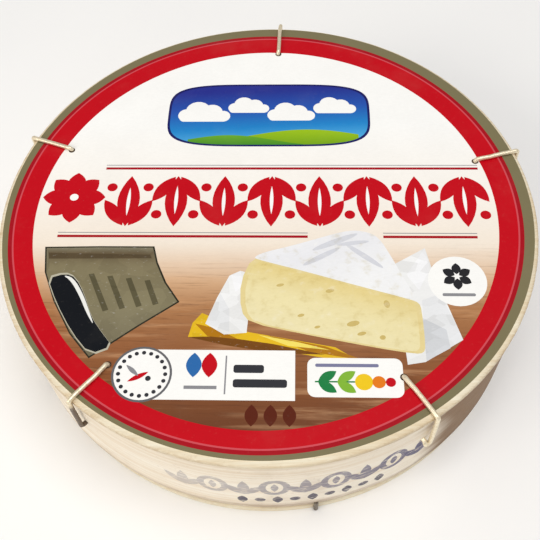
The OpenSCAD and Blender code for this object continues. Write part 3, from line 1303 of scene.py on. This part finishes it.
@dataclass
class WireStaple:
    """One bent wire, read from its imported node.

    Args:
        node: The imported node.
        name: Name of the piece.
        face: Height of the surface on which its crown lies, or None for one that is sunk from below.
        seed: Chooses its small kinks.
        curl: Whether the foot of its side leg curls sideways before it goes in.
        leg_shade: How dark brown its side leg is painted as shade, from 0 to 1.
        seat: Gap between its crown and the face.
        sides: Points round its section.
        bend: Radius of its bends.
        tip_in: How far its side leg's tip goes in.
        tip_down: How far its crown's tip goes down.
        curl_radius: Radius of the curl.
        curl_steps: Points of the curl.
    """

    node: str
    name: str
    face: float | None
    seed: int
    curl: bool = False
    leg_shade: float = 0.0
    seat: float = 0.02
    sides: int = 14
    bend: float = 0.6
    tip_in: float = 1.6
    tip_down: float = 1.5
    curl_radius: float = 0.6
    curl_steps: int = 9

    def __post_init__(self) -> None:
        """Reads the wire's place and sizes from its node's box."""
        low, high = box_of(self.node)
        middle, size = (low + high) / 2, high - low
        self.turn = math.atan2(middle.y, middle.x)
        self.low, self.high = low.z, high.z
        wanted = 0.95 if self.face is None else high.z - self.face - self.seat
        self.wire = min(1.15, max(0.7, wanted))
        c, s = abs(math.cos(self.turn)), abs(math.sin(self.turn))
        length = (size.x - self.wire) / c if c > s else (size.y - self.wire) / s
        reach = math.hypot(middle.x, middle.y)
        self.inner, self.outer = reach - length / 2, reach + length / 2

    def route(self) -> list[Vector]:
        """Draws the wire's centreline.

        Returns:
            Its points, as radius, sideways and height.
        """
        half, bend = self.wire / 2, self.bend
        down, top, foot = -1, self.high - half, self.low + half
        if self.face is None:
            down, top, foot = 1, foot, top

        def corner(r: float, z: float, start: float, end: float) -> Outline:
            """Rounds one corner about its centre, with angles in degrees."""
            arc = [polar(bend, math.radians(start + (end - start) * i / 6)) for i in range(7)]
            return [(r + out, z - down * up) for out, up in arc]

        first, last = top + down * bend, foot - down * bend
        points = [(self.inner, top + down * self.tip_down), *corner(self.inner + bend, first, 180, 90)]
        points += [(self.inner + (self.outer - self.inner) * i / 12, top) for i in range(2, 11)]
        points += corner(self.outer - bend, first, 90, 0)
        points += [(self.outer, first + (last - first) * i / 12) for i in range(1, 12)]
        points += corner(self.outer - bend, last, 0, -90)
        points.append((self.outer - self.tip_in, foot))
        route = []
        for i, (r, z) in enumerate(points):
            share = abs(z - top) / max(0.1, abs(foot - top))
            kink = 0.14 * hills(i * 0.21, 3.7 * self.seed, 0.4)
            lean = 0.22 * hills(self.seed * 1.9, 0.3, 7.1) * share
            route.append(Vector((r, kink + lean, z)))
        return self.curled(route, foot) if self.curl else route

    def curled(self, route: list[Vector], foot: float) -> list[Vector]:
        """Turns the foot of the side leg sideways and up, flat on the hoop, before it goes in.

        Args:
            route: The centreline.
            foot: Height of the leg's foot.

        Returns:
            The changed centreline.
        """
        found = [p for p in route if not (p.z < foot + self.bend + 0.1 and p.x > self.outer - 2)]
        side, radius = found[-1].y, self.curl_radius
        for i in range(1, self.curl_steps + 1):
            a = math.radians(170 * i / self.curl_steps)
            across, up = side - radius * (1 - math.cos(a)), foot + radius - radius * math.sin(a)
            found.append(Vector((self.outer, across, up)))
        end = found[-1]
        for deep, up in ((0.5, 0.5), (1.5, 0.55)):
            found.append(Vector((self.outer - deep, end.y + 0.1, end.z + up)))
        return found

    def build(self, steel: Material) -> None:
        """Sweeps a round section along the wire's route.

        Args:
            steel: The wire's material.
        """
        c, s = polar(1.0, self.turn)
        route = [Vector((p.x * c - p.y * s, p.x * s + p.y * c, p.z)) for p in self.route()]
        route = [p for i, p in enumerate(route) if i == 0 or (p - route[i - 1]).length > 0.02]
        points, faces, leg_shades = [], [], []
        normal = Vector((-s, c, 0.0))
        for i, p in enumerate(route):
            ahead = (route[min(i + 1, len(route) - 1)] - route[max(i - 1, 0)]).normalized()
            normal = (normal - ahead * normal.dot(ahead)).normalized()
            across = ahead.cross(normal)
            for k in range(self.sides):
                u, v = polar(1.0, math.tau * k / self.sides)
                points.append(p + (normal * u + across * v) * (self.wire / 2))
                # Painted shade: the side leg below the crown is marked dark brown, standing in for the shade
                # it stands in.
                leg_shades.append(self.leg_shade * max(0.0, min(1.0, (self.high - p.z - 1.6) / 1.4)))
        for start in range(0, len(points) - self.sides, self.sides):
            faces += band(start, start + self.sides, self.sides)
        faces += [tuple(range(self.sides)), tuple(len(points) - 1 - k for k in range(self.sides))]
        mesh = mesh_of(self.name, points, faces)
        store(mesh, EDGE_AND_SHADE_LAYER, "FLOAT", leg_shades)
        finish_mesh(mesh, 50.0)
        place_piece(mesh, [steel], "staple_wire", self.node)


# ---------------------------------------------------------------- wood


@dataclass
class WoodDisc:
    """A sawn disc of thin wood with a slightly ragged rounded edge."""

    node: str = "lid_disc"
    name: str = "lid_board"
    columns: int = 540
    ragged: float = 0.16
    rounding: float = 0.5

    def profile(self, radius: float, low: float, high: float) -> list[Spot]:
        """Draws the section from the top's middle round to the underside's.

        Args:
            radius: Radius of the disc.
            low: Height of its underside.
            high: Height of its top.

        Returns:
            Radius, height and raggedness of each ring.
        """
        r = self.rounding
        rings = [(radius * 0.4, high, 0.0), (radius * 0.8, high, 0.0)]
        rings += [(radius - 1.6, high, 0.0), (radius - 0.9, high, 0.1)]
        for i in range(6):
            out, up = polar(r, math.radians(90 - 18 * i))
            rings.append((radius - r + out, high - r + up, 0.35 + 0.65 * i / 5))
        rings += [(radius, high - r - (high - low - 2 * r) * t, 1.0) for t in (0.33, 0.67)]
        for i in range(6):
            out, up = polar(r, math.radians(-18 * i))
            rings.append((radius - r + out, low + r + up, 1.0 - 0.65 * i / 5))
        return rings + [(radius - 2.0, low, 0.0), (radius * 0.6, low, 0.0)]

    def build(self, wood: Material) -> None:
        """Makes the disc.

        Args:
            wood: Its material.
        """
        low, high = box_of(self.node)
        radius, m = high.x, self.columns
        points, edge = [(0.0, 0.0, high.z)], [0.0]
        rings = self.profile(radius, low.z, high.z)
        for r, z, rag in rings:
            for i in range(m):
                c, s = polar(1.0, math.tau * i / m)
                end_grain = abs(c)
                wave = 0.5 + 0.5 * hills(3.0 * c, 3.0 * s, 5.0)
                bite = 0.5 + 0.5 * hills(radius * c / 1.3, radius * s / 1.3, z / 0.7)
                cut = rag * self.ragged * (0.45 * wave + (0.25 + 0.45 * end_grain) * bite)
                points.append(((r - cut) * c, (r - cut) * s, z))
                edge.append(rag * (0.35 + 0.65 * end_grain))
        points.append((0.0, 0.0, low.z))
        edge.append(0.0)
        last, ahead = 1 + (len(rings) - 1) * m, [(i, (i + 1) % m) for i in range(m)]
        faces = [(0, 1 + i, 1 + j) for i, j in ahead]
        for start in range(1, last, m):
            faces += band(start, start + m, m)
        faces += [(last + j, last + i, len(points) - 1) for i, j in ahead]
        mesh = mesh_of(self.name, points, faces)
        store(mesh, EDGE_AND_SHADE_LAYER, "FLOAT", edge)
        finish_mesh(mesh, 60.0)
        place_piece(mesh, [wood], "disc_wood", self.node)


@dataclass
class BentHoop:
    """A strip of sliced wood bent into a round, its free end lapped over itself.

    Args:
        node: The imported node.
        name: Name of the piece.
        inner: Radius of the inside, or 0 for a full drum.
        step: How far the free end stands proud.
        lap_angle: Direction of the free end, in degrees.
        seed: Chooses its unevenness.
        stamps: Shapes stamped on it, by length along the strip and height.
        pits: Places of small dents, by direction in radians and height.
        lap_turn: Degrees over which the lap sinks back into the round.
        columns: Steps along the strip.
        rows: Steps up the strip.
        chamfer: Width of its broken edges.
        out_of_round: How far its round wanders.
        ragged: How far its lower edge is frayed.
    """

    node: str
    name: str
    inner: float
    step: float
    lap_angle: float
    seed: float
    stamps: list[Shape] = field(default_factory=list)
    pits: list[Point] = field(default_factory=list)
    lap_turn: float = 50.0
    columns: int = 540
    rows: int = 12
    chamfer: float = 0.14
    out_of_round: float = 0.1
    ragged: float = 0.16

    def __post_init__(self) -> None:
        """Reads the strip's radius and heights from its node's box."""
        low, high = box_of(self.node)
        self.radius, self.low, self.high = -low.y, low.z, high.z
        self.length = math.tau * self.radius

    def along(self, degrees: float) -> float:
        """Gives the length along the strip at a direction in degrees."""
        return (degrees - self.lap_angle) % 360 / 360 * self.length

    def lapped(self, turn: float) -> float:
        """Gives how far the lap stands proud.

        Args:
            turn: Degrees from the free end.

        Returns:
            The height over the round, never less than 0.
        """
        if turn >= self.lap_turn:
            return 0.0
        shift = self.step / (1 - math.cos(math.radians(self.lap_turn)))
        ring = self.radius + self.step - shift
        ahead, side = polar(shift, math.radians(turn))
        return max(0.0, ahead + math.sqrt(ring ** 2 - side ** 2) - self.radius)

    def dented_at(self, angle: float, z: float) -> float:
        """Gives how deep the small dents are.

        Args:
            angle: Direction in radians.
            z: Height.

        Returns:
            The depth.
        """
        depth = 0.0
        for other, height in self.pits:
            if abs(z - height) < 3:
                gap = self.radius * abs(math.remainder(angle - other, math.tau))
                depth += 0.35 * math.exp(-((gap / 0.8) ** 2) - ((z - height) / 0.7) ** 2)
        return depth

    def wall(self, s: float, z: float, inset: float = 0.0) -> Vector:
        """Bends a point of the strip into the round.

        Args:
            s: Length along the strip.
            z: Height.
            inset: How far it lies inside the outer face.

        Returns:
            The point.
        """
        turn = s / self.length * 360
        angle = math.radians(self.lap_angle + turn)
        wander = 0.5 + 0.5 * hills(*polar(2.2, angle), z / 30 + self.seed)
        rough = abs(0.02 * hills(s / 30, z / 1.4, self.seed, 2))
        r = self.radius + self.lapped(turn) - self.out_of_round * wander - rough
        r = r - self.dented_at(angle, z) - inset
        return Vector((*polar(r, angle), z + self.frayed(s, z)))

    def inside(self, s: float, z: float) -> Vector:
        """Gives a point of the inner face."""
        return Vector((*polar(self.inner, math.radians(self.lap_angle + s / self.length * 360)), z))

    def frayed(self, s: float, z: float) -> float:
        """Gives how far the lower edge is cut back at a place, fading over the strip's height.

        Args:
            s: Length along the strip.
            z: Height.

        Returns:
            The change in height.
        """
        share = (z - self.low) / (self.high - self.low)
        x, y = polar(self.radius, math.tau * s / self.length)
        cut = 0.5 + 0.35 * hills(x / 18, y / 18, self.seed) + 0.3 * hills(x / 2.2, y / 2.2, self.seed + 4)
        return self.ragged * max(0.0, min(1.0, cut)) * (1 - share) ** 2

    def build(self, wood: Material) -> None:
        """Makes the strip as one closed mesh.

        Args:
            wood: Its material.
        """
        n, low, high = self.columns, self.low + self.chamfer, self.high - self.chamfer
        xs = [self.length * i / n for i in range(n + 1)]
        zs = [low + (high - low) * i / self.rows for i in range(self.rows + 1)]
        sheet = [(x, low) for x in xs] + [(xs[-1], z) for z in zs[1:-1]]
        sheet += [(x, high) for x in reversed(xs)] + [(0.0, z) for z in reversed(zs[1:-1])]
        shapes = [Shape(sheet, WOOD_BARE)] + self.stamps
        flat, faces, owners, border = cut_out(shapes, [(x, z) for x in xs[1:-1:2] for z in zs[1:-1]])
        points = [self.wall(x, z) for x, z in flat]
        places = [(x, z, 0.0) for x, z in flat]
        edge = [max(math.exp(-(z - self.low) / 0.5), 0.5 * math.exp(-(self.high - z) / 0.5)) for _, z in flat]

        def ring(count: int, z: float, within: bool) -> list[int]:
            """Adds one ring of points along an edge of the strip.

            Args:
                count: How many columns it takes.
                z: Its height.
                within: Whether it lies on the inner face, and not at the chamfer.

            Returns:
                The numbers of its points.
            """
            start = len(points)
            for x in xs[:count]:
                points.append(self.inside(x, z) if within else self.wall(x, z, self.chamfer))
                places.append((x, z, 1.2 if within else 0.2))
                edge.append(1.0)
            return list(range(start, len(points)))

        foot, up_side = border[:n + 1], border[n + 1:n + self.rows]
        head = border[n + self.rows:2 * n + self.rows + 1][::-1]
        down_side = border[2 * n + self.rows + 1:][::-1]
        lower, upper = [ring(n + 1, z, False) for z in (self.low, self.high)]
        inner_low, inner_high = [ring(n if self.inner else 1, z, True) for z in (self.low, self.high)]
        for i in range(n):
            j = i + 1
            faces += [(foot[i], lower[i], lower[j], foot[j]), (head[i], head[j], upper[j], upper[i])]
            if self.inner:
                k = j % n
                faces.append((lower[i], inner_low[i], inner_low[k], lower[j]))
                faces.append((upper[i], upper[j], inner_high[k], inner_high[i]))
                faces.append((inner_low[i], inner_high[i], inner_high[k], inner_low[k]))
            else:
                faces += [(lower[i], inner_low[0], lower[j]), (upper[i], upper[j], inner_high[0])]
        left = [lower[0], foot[0], *down_side, head[0], upper[0]]
        right = [lower[n], foot[n], *up_side, head[n], upper[n]]
        faces += [(left[i], left[i + 1], right[i + 1], right[i]) for i in range(len(left) - 1)]
        faces += [(inner_low[0], left[0], right[0]), (inner_high[0], right[-1], left[-1])]
        owners += [0] * (len(faces) - len(owners))
        mesh = mesh_of(self.name, points, faces)
        store(mesh, EDGE_AND_SHADE_LAYER, "FLOAT", edge)
        self.paint(mesh, shapes, owners, places)
        finish_mesh(mesh, 40.0)
        place_piece(mesh, [wood], "hoop_wood", self.node)

    def paint(self, mesh: Mesh, shapes: list[Shape], owners: list[int],
              places: list[Spot]) -> None:
        """Stores the stamped ink and the run of the grain on the mesh.

        Args:
            mesh: The strip's mesh.
            shapes: The stamped shapes.
            owners: The topmost shape of each face.
            places: Each point's place on the flat strip.
        """
        colours, runs = [], []
        for face, owner in zip(mesh.polygons, owners):
            stamp = shapes[owner].ink
            for v in face.vertices:
                x, z, depth = places[v]
                colours += [*stamp.at(x, z), stamp.strength]
                runs += [x, z, depth + self.seed]
        store(mesh, INK_LAYER, "FLOAT_COLOR", colours, "CORNER")
        store(mesh, GRAIN_LAYER, "FLOAT_VECTOR", runs, "CORNER")


@dataclass
class EdgeFibres:
    """Fine slivers of wood that stand off the raw edges."""

    name: str = "edge_slivers"
    count: int = 70
    thickness: float = 0.09
    seed: int = 11

    def build(self, wood: Material) -> None:
        """Makes the slivers as small closed spikes in one mesh.

        Args:
            wood: Their material.
        """
        pick = random.Random(self.seed)
        disc_low, disc_high = box_of("lid_disc")
        hoop_low, _ = box_of("lid_hoop")
        points, faces, half, up = [], [], self.thickness / 2, Vector((0, 0, 1))
        for i in range(self.count):
            angle = pick.uniform(0, math.tau)
            on_disc = i % 2 == 0
            radius = disc_high.x - 0.22 if on_disc else -hoop_low.y - 0.3
            z = pick.uniform(disc_low.z + 0.25, disc_high.z - 0.35) if on_disc else hoop_low.z + 0.16
            length = pick.uniform(0.5, 1.7)
            side = Vector((-math.sin(angle), math.cos(angle), 0)) * pick.choice((-1, 1))
            out = Vector((math.cos(angle), math.sin(angle), 0))
            root = out * radius + Vector((0, 0, z))
            drop = Vector((0, 0, pick.uniform(-0.16, 0.05)))
            tip = root + side * length + out * (0.17 - length ** 2 / (2 * radius)) + drop
            a, b, c, d = range(len(points), len(points) + 4)
            points += [root + out * half, root - out * half + up * half, root - out * half - up * half, tip]
            faces += [(a, b, c), (a, d, b), (b, d, c), (c, d, a)]
        mesh = mesh_of(self.name, points, faces)
        finish_mesh(mesh)
        place_piece(mesh, [wood], "disc_wood")


# ---------------------------------------------------------------- label


@dataclass
class PaperLabel:
    """The printed paper glued to the lid, pressed down under the wires.

    Args:
        wires: The lid's wires.
        node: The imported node.
        name: Name of the piece.
        print_turn: Degrees by which the print is turned anticlockwise.
        pitch: Distance between the rings of its free points.
        trim: How much smaller its radius is than its node's.
        shift: How far off centre it lies.
        rim_width: Width of the rim that bends down.
        deepest: How far its face may sink.
    """

    wires: list[WireStaple]
    node: str = "label"
    name: str = "printed_label"
    print_turn: float = -3.5
    pitch: float = 1.35
    trim: float = 0.35
    shift: Point = (0.0, 0.3)
    rim_width: float = 0.8
    deepest: float = 0.17

    def __post_init__(self) -> None:
        """Reads the label's radius and heights from its node's box."""
        low, high = box_of(self.node)
        self.radius, self.low, self.high = high.x - self.trim, low.z, high.z

    def design(self) -> list[Shape]:
        """Lays out the print, with painted shade round the wires' holes.

        Returns:
            The shapes, from the sheet upward.
        """
        found = Rings(self.radius, self.shift).shapes()
        for part in (LeafFrieze(), SkyPlaque(), FoilPortion(), CheeseWedge(), Badges()):
            found += [Shape(placed(s.outline, 0.0, 0.0, self.print_turn), s.ink) for s in part.shapes()]
        # Painted shadow: a dark brown ring round each hole where a wire goes into the paper.
        hole_shadows = (circle(*polar(wire.inner, wire.turn), wire.wire / 2 + 0.28, 16) for wire in self.wires)
        return found + printed(Ink.plain("4A3A2C"), *hole_shadows)

    def height(self, x: float, y: float) -> float:
        """Gives the height of the paper's face.

        Args:
            x: To the right.
            y: Upward on the label.

        Returns:
            The height.
        """
        sink = 0.045 * (0.5 + 0.5 * hills(x / 17, y / 17, 2.0))
        for wire in self.wires:
            c, s = polar(1.0, wire.turn)
            along, side = x * c + y * s, abs(y * c - x * s)
            if along > wire.inner - 4 and side < 4:
                sink += 0.075 * math.exp(-(math.hypot(max(0.0, wire.inner - along), side) / 1.2) ** 2)
        rim = math.dist((x, y), self.shift) - self.radius + self.rim_width
        if rim > 0:
            sink += 0.06 * (rim / self.rim_width) ** 2
        return self.high - min(self.deepest, max(0.0, sink))

    def build(self, finishes: Sequence[Material]) -> None:
        """Cuts the sheet along its print and closes it underneath.

        Args:
            finishes: The materials, in the order of Surface.
        """
        shapes, free = self.design(), [(0.0, 0.0)]
        rings = int(self.radius / self.pitch)
        for n in range(1, rings):
            for i in range(6 * n):
                x, y = polar(self.radius * n / rings, math.tau * (i + 0.5 * (n % 2)) / (6 * n))
                free.append((self.shift[0] + x, self.shift[1] + y))
        flat, faces, owners, _ = cut_out(shapes, free)
        size = len(flat)
        points = [(x, y, self.height(x, y)) for x, y in flat] + [(x, y, self.low) for x, y in flat]
        edges = [edge for a, b, c in faces for edge in ((a, b), (b, c), (c, a))]
        used = set(edges)
        under = [(c + size, b + size, a + size) for a, b, c in faces]
        rim = [(b, a, a + size, b + size) for a, b in edges if (b, a) not in used]
        mesh = mesh_of(self.name, points, faces + under + rim)
        owners += [0] * (len(under) + len(rim))
        c, s = polar(1.0, math.radians(-self.print_turn))
        colours = []
        for number, (face, owner) in enumerate(zip(mesh.polygons, owners)):
            ink = shapes[owner].ink
            face.material_index = ink.surface.value
            for v in face.vertices:
                x, y, _ = points[v]
                colour = ink.at(x * c - y * s, x * s + y * c) if number < len(faces) else linear("E9E2D2")
                colours += [*colour, 1.0]
        store(mesh, INK_LAYER, "FLOAT_COLOR", colours, "CORNER")
        finish_mesh(mesh, 40.0, outward=False)
        place_piece(mesh, finishes, "label_print", self.node)


# ---------------------------------------------------------------- studio


@dataclass
class Studio:
    """A white floor, soft light from the upper left, and the camera.

    Args:
        elevation: Degrees by which the camera looks down.
        roll: Degrees by which the camera is turned about its view.
        distance: Its distance from the lid's middle, in lid radii.
        aside: How far the view is moved to the right and upward, in lid radii.
        lens: Focal length in millimetres.
        floor_half: Half the floor's side, in metres.
    """

    elevation: float = 57.0
    roll: float = -2.68
    distance: float = 3.0
    aside: Point = (-0.0121, 0.2316)
    lens: float = 53.3
    floor_half: float = 3.0

    def camera(self) -> None:
        """Makes the camera and looks through it."""
        _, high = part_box("lid_disc")
        e, roll = math.radians(self.elevation), math.radians(self.roll)
        ahead = Vector((0, math.cos(e), -math.sin(e)))
        right, up = Vector((1, 0, 0)), Vector((0, math.sin(e), math.cos(e)))
        across = math.cos(roll) * right + math.sin(roll) * up
        above = -math.sin(roll) * right + math.cos(roll) * up
        back = ahead * self.distance + self.aside[0] * across + self.aside[1] * above
        place = Vector((0, 0, high.z)) - high.x * back
        data = bpy.data.cameras.new("camera")
        data.lens, data.sensor_width = self.lens, 36.0
        data.clip_start, data.clip_end = 0.01, 20.0
        camera = new_object("camera", data)
        facing = Matrix((across, above, -ahead)).transposed().to_4x4()
        camera.matrix_world = Matrix.Translation(place) @ facing
        bpy.context.scene.camera = camera

    def floor(self) -> None:
        """Lays the floor."""
        low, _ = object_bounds()
        half, z = self.floor_half, low[2]
        mesh = bpy.data.meshes.new("floor")
        corners = [(-half, -half, z), (half, -half, z), (half, half, z), (-half, half, z)]
        mesh.from_pydata(corners, [], [(0, 1, 2, 3)])
        mesh.materials.append(FloorFinish().make())
        new_object("floor", mesh)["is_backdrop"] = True

    def lamp(self, name: str, place: Sequence[float], size: float, power: float, tint: str) -> None:
        """Hangs a soft square lamp that faces the box.

        Args:
            name: Its name.
            place: Where it hangs, in metres.
            size: Its side, in metres.
            power: Its power in watts.
            tint: Colour code of its light.
        """
        data = bpy.data.lights.new(name, "AREA")
        data.size, data.energy, data.color = size, power, linear(tint)
        facing = (Vector((0, 0, 0.02)) - Vector(place)).to_track_quat("-Z", "Y").to_matrix().to_4x4()
        new_object(name, data).matrix_world = Matrix.Translation(Vector(place)) @ facing

    def light(self) -> None:
        """Hangs the lamps and sets the even light of the room."""
        world = bpy.data.worlds.new("room")
        world.use_nodes = True
        room = world.node_tree.nodes["Background"]
        NodeBench(world.node_tree).feed(room, {"Color": (1.0, 0.98, 0.95, 1), "Strength": 0.42})
        bpy.context.scene.world = world
        self.lamp("key", (-0.55, -0.4, 0.45), 0.4, 1.9, "FFF8EE")
        self.lamp("overhead", (0.2, -0.2, 1.2), 0.9, 7.6, "FFFFFF")

    def build(self) -> None:
        """Sets up the whole studio."""
        self.camera()
        self.floor()
        self.light()
        bpy.context.scene.view_settings.view_transform = "Standard"


# ---------------------------------------------------------------- the box


@dataclass
class CheeseBox:
    """The shut box: base, lid, label and staples."""

    lap_angle: float = 95.0
    base_lap_angle: float = 70.0
    stamp_angle: float = -85.0
    curled_wire: int = 5
    # The lid wire whose side leg is painted dark brown as painted shade.
    shaded_leg_wire: int = 4

    def lid_wires(self) -> list[WireStaple]:
        """Finds the lid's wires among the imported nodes.

        Returns:
            The wires, in the order of their names.
        """
        face = box_of("label")[1].z
        names = sorted(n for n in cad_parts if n.startswith("lid_staple"))
        return [
            WireStaple(name, f"lid_wire_{i}", face, i, curl=i == self.curled_wire,
                       leg_shade=0.9 if i == self.shaded_leg_wire else 0.0)
            for i, name in enumerate(names, 1)
        ]

    def base_wires(self) -> list[WireStaple]:
        """Finds the base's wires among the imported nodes, in the order of their names."""
        names = sorted(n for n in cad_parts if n.startswith("base_staple"))
        return [WireStaple(name, f"base_wire_{i}", None, i + 9) for i, name in enumerate(names, 1)]

    def build(self) -> None:
        """Builds and dresses every piece of the box."""
        poplar = WoodFinish("hoop_poplar", "FFF7E8", "E2CAA6", "8A6238", follows_bend=True).make()
        board = WoodFinish("disc_poplar", "F5EDD6", "DFC8A0", "AE8A58").make()
        lid_wires, base_wires = self.lid_wires(), self.base_wires()
        hoop = BentHoop("lid_hoop", "lid_band", 56.0, 0.45, self.lap_angle, 1.0,
                        pits=[(w.turn, w.low + w.wire / 2) for w in lid_wires])
        hoop.stamps = StampedFrieze(hoop.along(self.stamp_angle)).shapes()
        hoop.build(poplar)
        BentHoop("base", "base_band", 0.0, 0.175, self.base_lap_angle, 6.0, rows=14,
                 pits=[(w.turn, w.high - w.wire / 2) for w in base_wires]).build(poplar)
        WoodDisc().build(board)
        EdgeFibres().build(board)
        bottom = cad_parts["base_disc"].data
        bottom.materials.clear()
        bottom.materials.append(board)
        PaperLabel(lid_wires).build([PrintFinish(surface).make() for surface in Surface])
        # Painted shade: the base wires' steel is dark brown, standing in for the shade their legs lie in
        # under the lid hoop.
        dark = WireFinish("foot_steel_painted_shade", "5E4E3E", "2F261E")
        for finish, wires in ((WireFinish(), lid_wires), (dark, base_wires)):
            steel = finish.make()
            for wire in wires:
                wire.build(steel)


def main() -> None:
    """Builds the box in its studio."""
    logging.basicConfig(level=logging.INFO, format="%(name)s: %(message)s")
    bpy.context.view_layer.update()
    Studio().build()
    CheeseBox().build()


if __name__ == "__main__":
    main()
